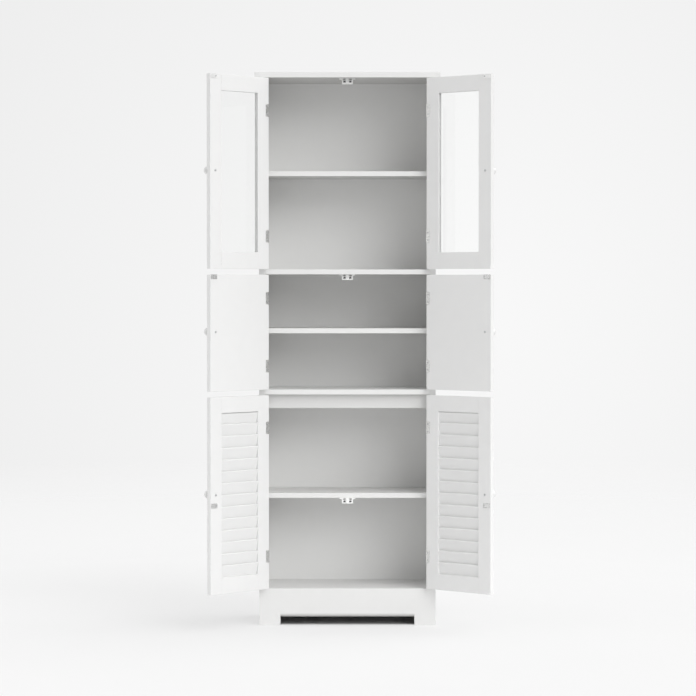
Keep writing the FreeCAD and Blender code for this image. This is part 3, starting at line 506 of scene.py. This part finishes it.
# The rim column sets how dark the painted shade along the edges is.
METALS = [  # slot, finish, colour, gloss, lines, rim, rim width
    ("hinge_steel", "satin_nickel", (0.76, 0.756, 0.748, 1.0), 0.28, 0.06, 0.6, 0.0004),
    ("screw_steel", "zinc_plate", (0.60, 0.605, 0.61, 1.0), 0.32, 0.15, 0.5, 0.0004),
    ("cam_zinc", "cast_zinc", (0.52, 0.52, 0.53, 1.0), 0.5, 0.2, 0.4, 0.0004),
    ("pole_steel", "nickelled_steel", (0.82, 0.82, 0.815, 1.0), 0.27, 0.08, 1.0, 0.0028),
    # Painted light: a lighter, rougher copy of the plate finish with a faint rim, for the upper
    # strike plates.
    ("lit_strike_copy", "frosted_nickel_lightened", (0.95, 0.95, 0.945, 1.0), 0.6, 0.05, 0.3, 0.0004),
]
for metal in METALS:
    plate_metal(*metal)
print("finishes:", list(finishes))


# %% Finish: magnets
def sinter_magnets():
    tree, shader, place = new_finish("magnet_ferrite", "sintered_ferrite")
    grain = put(tree, "TexNoise", {"Vector": place, "Scale": 2500.0, "Detail": 4.0})
    speckle = ranged(tree, grain.outputs["Fac"], 0.4, 0.7, 0.0, 1.0)
    colour = tinted(tree, speckle, (0.02, 0.02, 0.021, 1.0), (0.08, 0.08, 0.082, 1.0))
    tree.links.new(colour, shader.inputs["Base Color"])
    tree.links.new(ranged(tree, grain.outputs["Fac"], 0.3, 0.7, 0.5, 0.75),
                   shader.inputs["Roughness"])
    bump_into(tree, shader, grain.outputs["Fac"], 0.4, 0.00003)


sinter_magnets()
print("finishes:", list(finishes))

# %% [markdown]
# ## Moulded plastic and bare beech
#
# The catches are injection moulded in white plastic with the fine matt texture of a sparked
# mould. The dowels are bare beech, which hides inside the joints: its grain is a noise stretched
# along the dowel with the short dark flecks that beech has.

# %% Finish: moulded plastic
def mould_plastic():
    tree, shader, place = new_finish("catch_plastic", "white_moulded_plastic")
    spark = put(tree, "TexNoise", {"Vector": place, "Scale": 1800.0, "Detail": 3.0})
    cloud = put(tree, "TexNoise", {"Vector": place, "Scale": 60.0, "Detail": 2.0})
    colour = tinted(tree, cloud.outputs["Fac"], (0.90, 0.90, 0.892, 1.0), (0.93, 0.93, 0.922, 1.0))
    tree.links.new(colour, shader.inputs["Base Color"])
    tree.links.new(ranged(tree, cloud.outputs["Fac"], 0.3, 0.7, 0.32, 0.42),
                   shader.inputs["Roughness"])
    shader.inputs["Subsurface Weight"].default_value = 0.1
    shader.inputs["Subsurface Radius"].default_value = (0.001, 0.001, 0.001)
    bump_into(tree, shader, spark.outputs["Fac"], 0.25, 0.00003)


# %% Finish: bare beech
def turn_beech():
    tree, shader, place = new_finish("dowel_beech", "bare_beech")
    drawn = put(tree, "Mapping", {"Vector": place, "Scale": (40.0, 600.0, 600.0)})
    grain = put(tree, "TexNoise", {"Vector": drawn.outputs[0], "Scale": 1.0, "Detail": 5.0})
    colour = tinted(tree, grain.outputs["Fac"], (0.62, 0.43, 0.26, 1.0), (0.78, 0.60, 0.42, 1.0))
    tree.links.new(colour, shader.inputs["Base Color"])
    tree.links.new(ranged(tree, grain.outputs["Fac"], 0.3, 0.7, 0.6, 0.75),
                   shader.inputs["Roughness"])
    bump_into(tree, shader, grain.outputs["Fac"], 0.3, 0.0001)


mould_plastic()
turn_beech()
print("finishes:", list(finishes))

# %% [markdown]
# ## Dressing the CAD nodes
#
# The loaded nodes still have the flat colours of the imported model. Each one now gets its finish
# by the name of its slot. Three nodes get a variant instead: the two upper strike plates, in a
# lighter copy of the plate finish that paints light on them, and the stop rail, in a greyer paint
# that paints shade on it.

# %% Dress the CAD nodes
slot_of = {part["node"]: part["material_slot"] for part in frame["record"]["subparts"]}
# The upper strike plates get a lit copy of the plate finish, and the stop rail gets a shaded copy
# of the board paint.
variants = {"strike_plate_upper_left": "lit_strike_copy", "strike_plate_upper_right": "lit_strike_copy",
            "door_stop_rail": "shaded_rail"}
for name, node in nodes.items():
    finish = finishes[variants.get(name, slot_of[name])]
    for material_slot in node.material_slots:
        material_slot.material = finish
print("dressed:", len(slot_of), "nodes with", len(finishes), "finishes")

# %% [markdown]
# ## Finding the screws
#
# CAD gives every screw a plain head. Before making better ones, their places are measured from
# the CAD node itself, so that nothing is typed in twice. The node's mesh is split into its
# loose shells, one for each screw. A screw is much longer than wide, so the long axis of a
# shell is the screw's axis, and the end that is wider is its head.

# %% Split a node into its loose shells
def loose_shells(node):
    """The vertex positions of each separate shell of a node's mesh."""
    mesh = node.data
    points = np.array([vertex.co for vertex in mesh.vertices], float)
    _, merged = np.unique(np.round(points, 6), axis=0, return_inverse=True)
    merged = merged.reshape(-1)
    parent = list(range(merged.max() + 1))

    def root(item):
        while parent[item] != item:
            parent[item] = parent[parent[item]]
            item = parent[item]
        return item

    for edge in mesh.edges:
        first, second = (root(merged[index]) for index in edge.vertices)
        if first != second:
            parent[first] = second
    owner = np.array([root(item) for item in merged])
    return [points[owner == label] for label in sorted(set(owner))]


# %% Measure one screw
RIM_SHARE = 0.999
ROUNDING = 1e-5


def middle_of_round(points, axis):
    """The middle of a turned part: halfway between its sides, seen along its axis."""
    side = np.cross(axis, (0.0, 0.0, 1.0) if abs(axis[2]) < 0.9 else (1.0, 0.0, 0.0))
    side /= np.linalg.norm(side)
    frame_of_part = np.array([side, np.cross(axis, side), axis])
    seen = points @ frame_of_part.T
    return frame_of_part.T @ ((seen.max(axis=0) + seen.min(axis=0)) / 2)


def measure_screw(points):
    """Where a screw's head sits, which way it points out, and its head, shank and length."""
    axis = np.linalg.svd(points - points.mean(axis=0), full_matrices=False)[2][0]
    middle = middle_of_round(points, axis)
    along = (points - middle) @ axis
    across = np.linalg.norm((points - middle) - np.outer(along, axis), axis=1)
    if across[along > 0].max() < across[along < 0].max():
        axis, along = -axis, -along
    head = across > RIM_SHARE * across.max()
    shank = across[along < along[head].min() - ROUNDING].max()
    seat = along[head].min()
    return {"seat": Vector(middle + axis * seat), "out": Vector(axis),
            "head_radius": float(across.max()), "head_height": float(along.max() - seat),
            "shank_radius": float(shank), "length": float(seat - along.min())}


found = [measure_screw(shell) for shell in loose_shells(nodes["screws_upper_left"])]
for screw in found:
    print("screw in mm:", {key: round(value * 1000, 2) for key, value in screw.items()
                           if isinstance(value, float)})

# %% [markdown]
# ## Pan head screws with a cross recess
#
# The real screws have a low domed head with a cross in it, which is what makes a screw read as
# a screw. The outline of tip, shank and head becomes a stack of rings round the screw's axis. The
# cross is a twelve-cornered outline in the flat of the dome: the ring between it and the rim is
# filled with triangles, and the cross itself is pushed down and narrowed, as a driver's tapered
# tip needs. Everything is scaled from the measured screw, so the same function makes the small
# hinge screws and the knob screws. The head's profile is in shares of its radius and its height.

# %% One screw's mesh
RING_STEPS = 28
HEAD_PROFILE = [(0.97, 0.0), (1.0, 0.12), (0.985, 0.35), (0.92, 0.62), (0.79, 0.84), (0.62, 1.0)]
CROSS_TOP = (0.5, 0.13, 1.0)  # reach and half width by the head's radius, height by its height
CROSS_FLOOR = (0.3, 0.09, 0.2)


def ring(shape, radius, height):
    """A circle of vertices round Z."""
    return [shape.verts.new((radius * math.cos(2 * math.pi * step / RING_STEPS),
                             radius * math.sin(2 * math.pi * step / RING_STEPS), height))
            for step in range(RING_STEPS)]


def bridge(shape, first, second):
    """Quads between two loops of the same number of vertices."""
    count = len(first)
    for step in range(count):
        after = (step + 1) % count
        shape.faces.new((first[step], first[after], second[after], second[step]))


def cross_loop(shape, reach, half_width, height):
    """The twelve corners of a cross outline, counter-clockwise."""
    quarter = [(reach, -half_width), (reach, half_width), (half_width, half_width)]
    loop = []
    for turn in range(4):
        swing = Matrix.Rotation(turn * math.pi / 2, 2)
        loop += [shape.verts.new((*(swing @ Vector(corner)), height)) for corner in quarter]
    return loop


def screw_shape(shape, size, twist):
    """Add one screw to a bmesh: head up along Z, seat at the origin. Returns its vertices."""
    before = set(shape.verts)
    head, rise = size["head_radius"], size["head_height"]
    shank, length = size["shank_radius"], size["length"]
    outline = [(shank * 0.25, -length), (shank, -length + 2.0 * shank), (shank, 0.0)]
    outline += [(head * wide, rise * high) for wide, high in HEAD_PROFILE]
    rings = [ring(shape, radius, height) for radius, height in outline]
    for first, second in zip(rings, rings[1:]):
        bridge(shape, first, second)
    shape.faces.new(list(reversed(rings[0])))
    top, bottom = (cross_loop(shape, head * reach, head * half, rise * high)
                   for reach, half, high in (CROSS_TOP, CROSS_FLOOR))
    for vertex in top + bottom:
        vertex.co = Matrix.Rotation(twist, 3, "Z") @ vertex.co
    bridge(shape, bottom, top)
    shape.faces.new(bottom)
    rim = [shape.edges.get((first, second)) for loop in (rings[-1], top)
           for first, second in zip(loop, loop[1:] + loop[:1])]
    bmesh.ops.triangle_fill(shape, use_beauty=True, edges=rim, normal=(0.0, 0.0, 1.0))
    return [vertex for vertex in shape.verts if vertex not in before]


# %% [markdown]
# ## Fitting the screws
#
# One object holds all the screws of a CAD node. It takes the node's place and rides on the same
# body, so a door's screws swing with the door. Each cross is turned by its own angle, because no
# two screws stop at the same turn.

# %% Replace the CAD screws
TURN_BETWEEN_SCREWS = 2.4  # radians


def add_piece(name, shape, finish, smooth_angle=35.0):
    """Turn a bmesh into an object with its finish, smooth but for its sharp edges."""
    bmesh.ops.recalc_face_normals(shape, faces=shape.faces)
    mesh = bpy.data.meshes.new(name)
    shape.to_mesh(mesh)
    shape.free()
    mesh.materials.append(finishes[finish])
    mesh.shade_smooth()
    mesh.set_sharp_from_angle(angle=math.radians(smooth_angle))
    piece = bpy.data.objects.new(name, mesh)
    bpy.context.scene.collection.objects.link(piece)
    return piece


body_of = {node: body for body, members in frame["record"]["behaviour"]["bodies"].items()
           for node in members}


def refit_screws(node, name):
    """Replace the screws of a CAD node by one object with recessed heads."""
    shape = bmesh.new()
    shells = loose_shells(nodes[node])
    for index, shell in enumerate(shells):
        size = measure_screw(shell)
        added = screw_shape(shape, size, twist=TURN_BETWEEN_SCREWS * index)
        turn = size["out"].to_track_quat("Z", "Y").to_matrix().to_4x4()
        bmesh.ops.transform(shape, matrix=Matrix.Translation(size["seat"]) @ turn, verts=added)
    piece = add_piece(name, shape, slot_of[node])
    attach(piece, body_of[node])
    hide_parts(node)
    return len(shells)


screw_nodes = [name for name in nodes if name.startswith("screws_")]
for name in screw_nodes + ["carcass_screws"]:
    print(name, refit_screws(name, "cross_head_" + name), "screws")

# %% [markdown]
# ## Moulded catch shells
#
# Each pair of doors closes on a double magnetic catch: one white plastic moulding with a screw
# ear at each end and a window in front for each magnet. CAD keeps it as a plain block with two
# cavities. The moulding here is drawn as a front outline with rounded corners and pushed back
# to its depth. The slots for its screws and the windows are cut by booleans, and a fine bevel
# gives the soft edges of a moulding. The block that CAD has sets its place and size.

# %% Catch outline
def rounded_outline(corners, radius, steps=4):
    """Points of a polygon whose corners are rounded. corners is a list of (x, z)."""
    points = []
    count = len(corners)
    for index, corner in enumerate(corners):
        here = Vector(corner)
        before = (Vector(corners[index - 1]) - here).normalized()
        after = (Vector(corners[(index + 1) % count]) - here).normalized()
        for step in range(steps + 1):
            share = step / steps
            start, end = here + before * radius, here + after * radius
            points.append(start.lerp(here, share).lerp(here.lerp(end, share), share))
    return points


def pushed_block(outline, front, back):
    """A bmesh: an outline in X and Z pushed from front to back along Y."""
    shape = bmesh.new()
    near = [shape.verts.new((x, front, z)) for x, z in outline]
    far = [shape.verts.new((x, back, z)) for x, z in outline]
    shape.faces.new(near)
    shape.faces.new(list(reversed(far)))
    bridge(shape, near, far)
    bmesh.ops.recalc_face_normals(shape, faces=shape.faces)
    return shape


# %% Cutting helper
MOULD_ROUND = 0.00035


def as_object(shape, name):
    """Turn a bmesh into a plain object, for use in a boolean."""
    mesh = bpy.data.meshes.new(name)
    shape.to_mesh(mesh)
    shape.free()
    thing = bpy.data.objects.new(name, mesh)
    bpy.context.scene.collection.objects.link(thing)
    return thing


def cut_away(thing, cutters):
    """Take cutters away from a thing with exact booleans, bake the result, drop the cutters."""
    for cutter in cutters:
        modifier = thing.modifiers.new("cut", "BOOLEAN")
        modifier.operation = "DIFFERENCE"
        modifier.solver = "EXACT"
        modifier.object = cutter
    bevel = thing.modifiers.new("soft_mould_edges", "BEVEL")
    bevel.width = MOULD_ROUND
    bevel.segments = 2
    bevel.limit_method = "ANGLE"
    bevel.angle_limit = math.radians(40)
    bpy.context.view_layer.update()
    baked = bpy.data.meshes.new_from_object(
        thing.evaluated_get(bpy.context.evaluated_depsgraph_get()))
    for cutter in cutters:
        bpy.data.objects.remove(cutter)
    bpy.data.objects.remove(thing)
    return baked


# %% One catch shell
BODY_SHARE = 36 / 52
EAR_HEIGHT = 0.004
SHELL_CORNER = 0.0012
WINDOW_SIDE, WINDOW_DEPTH, WINDOW_CORNER = 0.0072, 0.0116, 0.001
WINDOW_X = 0.0095
SLOT_WIDTH, SLOT_HEIGHT, SLOT_DEPTH, SLOT_CORNER = 0.0076, 0.0042, 0.020, 0.0014
SLOT_X, SLOT_BELOW_TOP = 0.0100, 0.0036
CUTTER_LEAD = 0.001


def pocket(x, z, width, height, corner, front, depth):
    """A cutter for a round-cornered pocket in the moulding's front."""
    outline = [(x - width / 2, z - height / 2), (x + width / 2, z - height / 2),
               (x + width / 2, z + height / 2), (x - width / 2, z + height / 2)]
    return as_object(pushed_block(rounded_outline(outline, corner), front - CUTTER_LEAD,
                                  front + depth), "pocket")


def catch_shell(low, high):
    """The moulding between the corners of the CAD housing's box."""
    middle = (low.x + high.x) / 2
    half = (high.x - low.x) / 2
    body_half = half * BODY_SHARE
    front, back, top, foot = low.y, high.y, high.z, low.z
    corners = [(middle - body_half, foot), (middle + body_half, foot),
               (middle + body_half, top - EAR_HEIGHT), (middle + half, top - EAR_HEIGHT),
               (middle + half, top), (middle - half, top), (middle - half, top - EAR_HEIGHT),
               (middle - body_half, top - EAR_HEIGHT)]
    outline = rounded_outline(corners, SHELL_CORNER)
    shell = as_object(pushed_block(outline, front, back), "shell")
    window_z = foot + (top - EAR_HEIGHT - foot) / 2
    cutters = []
    for sign in (-1, 1):
        cutters.append(pocket(middle + sign * WINDOW_X, window_z, WINDOW_SIDE, WINDOW_SIDE,
                              WINDOW_CORNER, front, WINDOW_DEPTH))
        cutters.append(pocket(middle + sign * SLOT_X, top - SLOT_BELOW_TOP, SLOT_WIDTH,
                              SLOT_HEIGHT, SLOT_CORNER, front, SLOT_DEPTH))
    return cut_away(shell, cutters)


# %% Replace the CAD housings
shape = bmesh.new()
for shell in loose_shells(nodes["catch_housings"]):
    low, high = Vector(shell.min(axis=0)), Vector(shell.max(axis=0))
    shape.from_mesh(catch_shell(low, high))
    print("catch at", [round(v, 4) for v in low], "size", [round(v, 4) for v in high - low])
catches = add_piece("moulded_catches", shape, "catch_plastic")
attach(catches, "carcass")
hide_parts("catch_housings")
print("catch faces:", len(catches.data.polygons))

# %% [markdown]
# ## Floor
#
# The cabinet stands on a pale, seamless floor. It is one large sheet of quads whose material
# fades to nothing far out, so that the floor runs into the plain backdrop without a horizon.
# The sheet is lit from below as well, as the white acrylic tables of product studios are: half
# of what the camera sees of it is its own glow, which keeps the shadows pale. There is no glow
# under the cabinet itself, and none of it lights the cabinet.

# %% Floor
FLOOR_REACH = 14.0
FLOOR_DARK = (0.765, 0.765, 0.765, 1.0)
FLOOR_LIGHT = (0.785, 0.785, 0.785, 1.0)
GLOW_SHARE = 0.5
GLOW = 0.93
SHADE_EDGE = 0.04
FADE_START, FADE_END = 2.0, 8.0


def make_floor():
    mesh = bpy.data.meshes.new("floor")
    shape = bmesh.new()
    bmesh.ops.create_grid(shape, x_segments=28, y_segments=28, size=FLOOR_REACH)
    shape.to_mesh(mesh)
    shape.free()
    floor = bpy.data.objects.new("floor", mesh)
    bpy.context.scene.collection.objects.link(floor)
    return floor


def outside_footprint(tree, place):
    """A mask that is 0 under the carcass and 1 around it."""
    low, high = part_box("side_panel_left")[0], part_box("side_panel_right")[1]
    middle, half = (low + high) / 2, (high - low) / 2
    split = put(tree, "SeparateXYZ", {0: place})
    outside = []
    for axis, reach in (("X", half.x), ("Y", half.y)):
        off = number(tree, "SUBTRACT", split.outputs[axis], getattr(middle, axis.lower()))
        far = number(tree, "ABSOLUTE", off, 0.0)
        outside.append(ranged(tree, far, reach - SHADE_EDGE, reach, 0.0, 1.0))
    return number(tree, "MAXIMUM", *outside)


def acrylic_floor():
    material = bpy.data.materials.new("pale_floor")
    material.use_nodes = True
    tree = material.node_tree
    shader = tree.nodes["Principled BSDF"]
    place = put(tree, "TexCoord", {}).outputs["Object"]
    fibre = put(tree, "TexNoise", {"Vector": place, "Scale": 160.0, "Detail": 4.0})
    cloud = put(tree, "TexNoise", {"Vector": place, "Scale": 1.5, "Detail": 2.0})
    colour = tinted(tree, cloud.outputs["Fac"], FLOOR_DARK, FLOOR_LIGHT)
    tree.links.new(colour, shader.inputs["Base Color"])
    tree.links.new(ranged(tree, fibre.outputs["Fac"], 0.3, 0.7, 0.7, 0.85),
                   shader.inputs["Roughness"])
    shader.inputs["Specular IOR Level"].default_value = 0.1
    bump_into(tree, shader, fibre.outputs["Fac"], 0.1, 0.0002)
    path = put(tree, "LightPath", {})
    seen = number(tree, "MAXIMUM", path.outputs["Is Camera Ray"],
                  path.outputs["Is Transmission Ray"])
    share = number(tree, "MULTIPLY", number(tree, "MULTIPLY", seen, GLOW_SHARE),
                   outside_footprint(tree, place))
    glow = put(tree, "Emission", {"Color": (1.0, 1.0, 1.0, 1.0), "Strength": GLOW})
    lit = put(tree, "MixShader", {0: share, 1: shader.outputs[0], 2: glow.outputs[0]})
    distance = put(tree, "VectorMath", {0: place}, operation="LENGTH").outputs["Value"]
    fade = ranged(tree, distance, FADE_START, FADE_END, 0.0, 1.0)
    clear = put(tree, "BsdfTransparent", {})
    mix = put(tree, "MixShader", {0: fade, 1: lit.outputs[0], 2: clear.outputs[0]})
    output = tree.nodes["Material Output"]
    tree.links.new(mix.outputs[0], output.inputs["Surface"])
    return material


floor = make_floor()
floor.data.materials.append(acrylic_floor())
floor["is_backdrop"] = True
print("floor quads:", len(floor.data.polygons))

# %% [markdown]
# ## Studio light
#
# White furniture on a white ground is lit softly from almost everywhere, or its edges vanish.
# The world gives the even part. Wide suns stand in for big, distant soft boxes: a sun lights
# the top and the bottom of a tall cabinet alike, and its angle sets how soft the shadows are.
# The strongest comes from the front on the right, so the open doors on the left are brighter
# than those on the right. One from almost overhead lets the shelves throw soft shadows down the
# back, and a weaker one on each side models the edges. The backdrop that the camera sees has its
# own brightness, a little darker away from its middle, so that it can stay almost white while
# the light that falls on the cabinet is set separately.

# %% Studio light
BACKDROP = 0.945
BACKDROP_EDGE = 0.86
BRIGHTEST = (0.045, 0.999, -0.01)
AMBIENT = 0.52
BACKDROP_FALL = 0.2
LIGHT_DISTANCE = 4.0
LIGHTS = [  # name, azimuth, elevation, angle, strength
    ("key_front", 34.0, 30.0, 45.0, 1.32),
    ("top", 40.0, 78.0, 60.0, 1.00),
    ("side_right", 110.0, 50.0, 50.0, 0.62),
    ("fill_left", -80.0, 30.0, 60.0, 0.38),
]


def soft_box(name, azimuth, elevation, spread, strength):
    """A wide sun. Azimuth is counted from the front towards the right, in degrees."""
    turn, rise = math.radians(azimuth), math.radians(elevation)
    away = Vector((math.sin(turn) * math.cos(rise), -math.cos(turn) * math.cos(rise),
                   math.sin(rise)))
    data = bpy.data.lights.new(name, "SUN")
    data.angle = math.radians(spread)
    data.energy = strength
    light = bpy.data.objects.new(name, data)
    light.location = away * LIGHT_DISTANCE
    light.rotation_euler = away.to_track_quat("Z", "Y").to_euler()
    bpy.context.scene.collection.objects.link(light)


def light_world():
    """An even sky for the cabinet and a brighter backdrop for the camera."""
    world = bpy.data.worlds.new("studio")
    world.use_nodes = True
    bpy.context.scene.world = world
    tree = world.node_tree
    tree.nodes.clear()
    path = put(tree, "LightPath", {})
    seen = number(tree, "MAXIMUM", path.outputs["Is Camera Ray"],
                  path.outputs["Is Transmission Ray"])
    direction = put(tree, "TexCoord", {}).outputs["Generated"]
    off = put(tree, "VectorMath", {0: direction, 1: BRIGHTEST}, operation="DISTANCE")
    fall = ranged(tree, off.outputs["Value"], 0.0, BACKDROP_FALL, 1.0, 0.0)
    glow = ranged(tree, fall, 0.0, 1.0, BACKDROP_EDGE, BACKDROP)
    even = put(tree, "Background", {"Color": (1.0, 1.0, 1.0, 1.0), "Strength": AMBIENT})
    wall = put(tree, "Background", {"Color": (1.0, 1.0, 1.0, 1.0), "Strength": glow})
    mix = put(tree, "MixShader", {0: seen, 1: even.outputs[0], 2: wall.outputs[0]})
    output = put(tree, "OutputWorld", {})
    tree.links.new(mix.outputs[0], output.inputs["Surface"])


for light in LIGHTS:
    soft_box(*light)
light_world()
bpy.context.scene.view_settings.view_transform = "Standard"
print("lights:", [light[0] for light in LIGHTS])

# %% [markdown]
#
# The dressed cabinet has to fill the same box as the CAD model. The box of the dressed scene is
# measured and printed.

# %% Measure the dressed box
low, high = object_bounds()
print("visual box:", list(low), list(high))
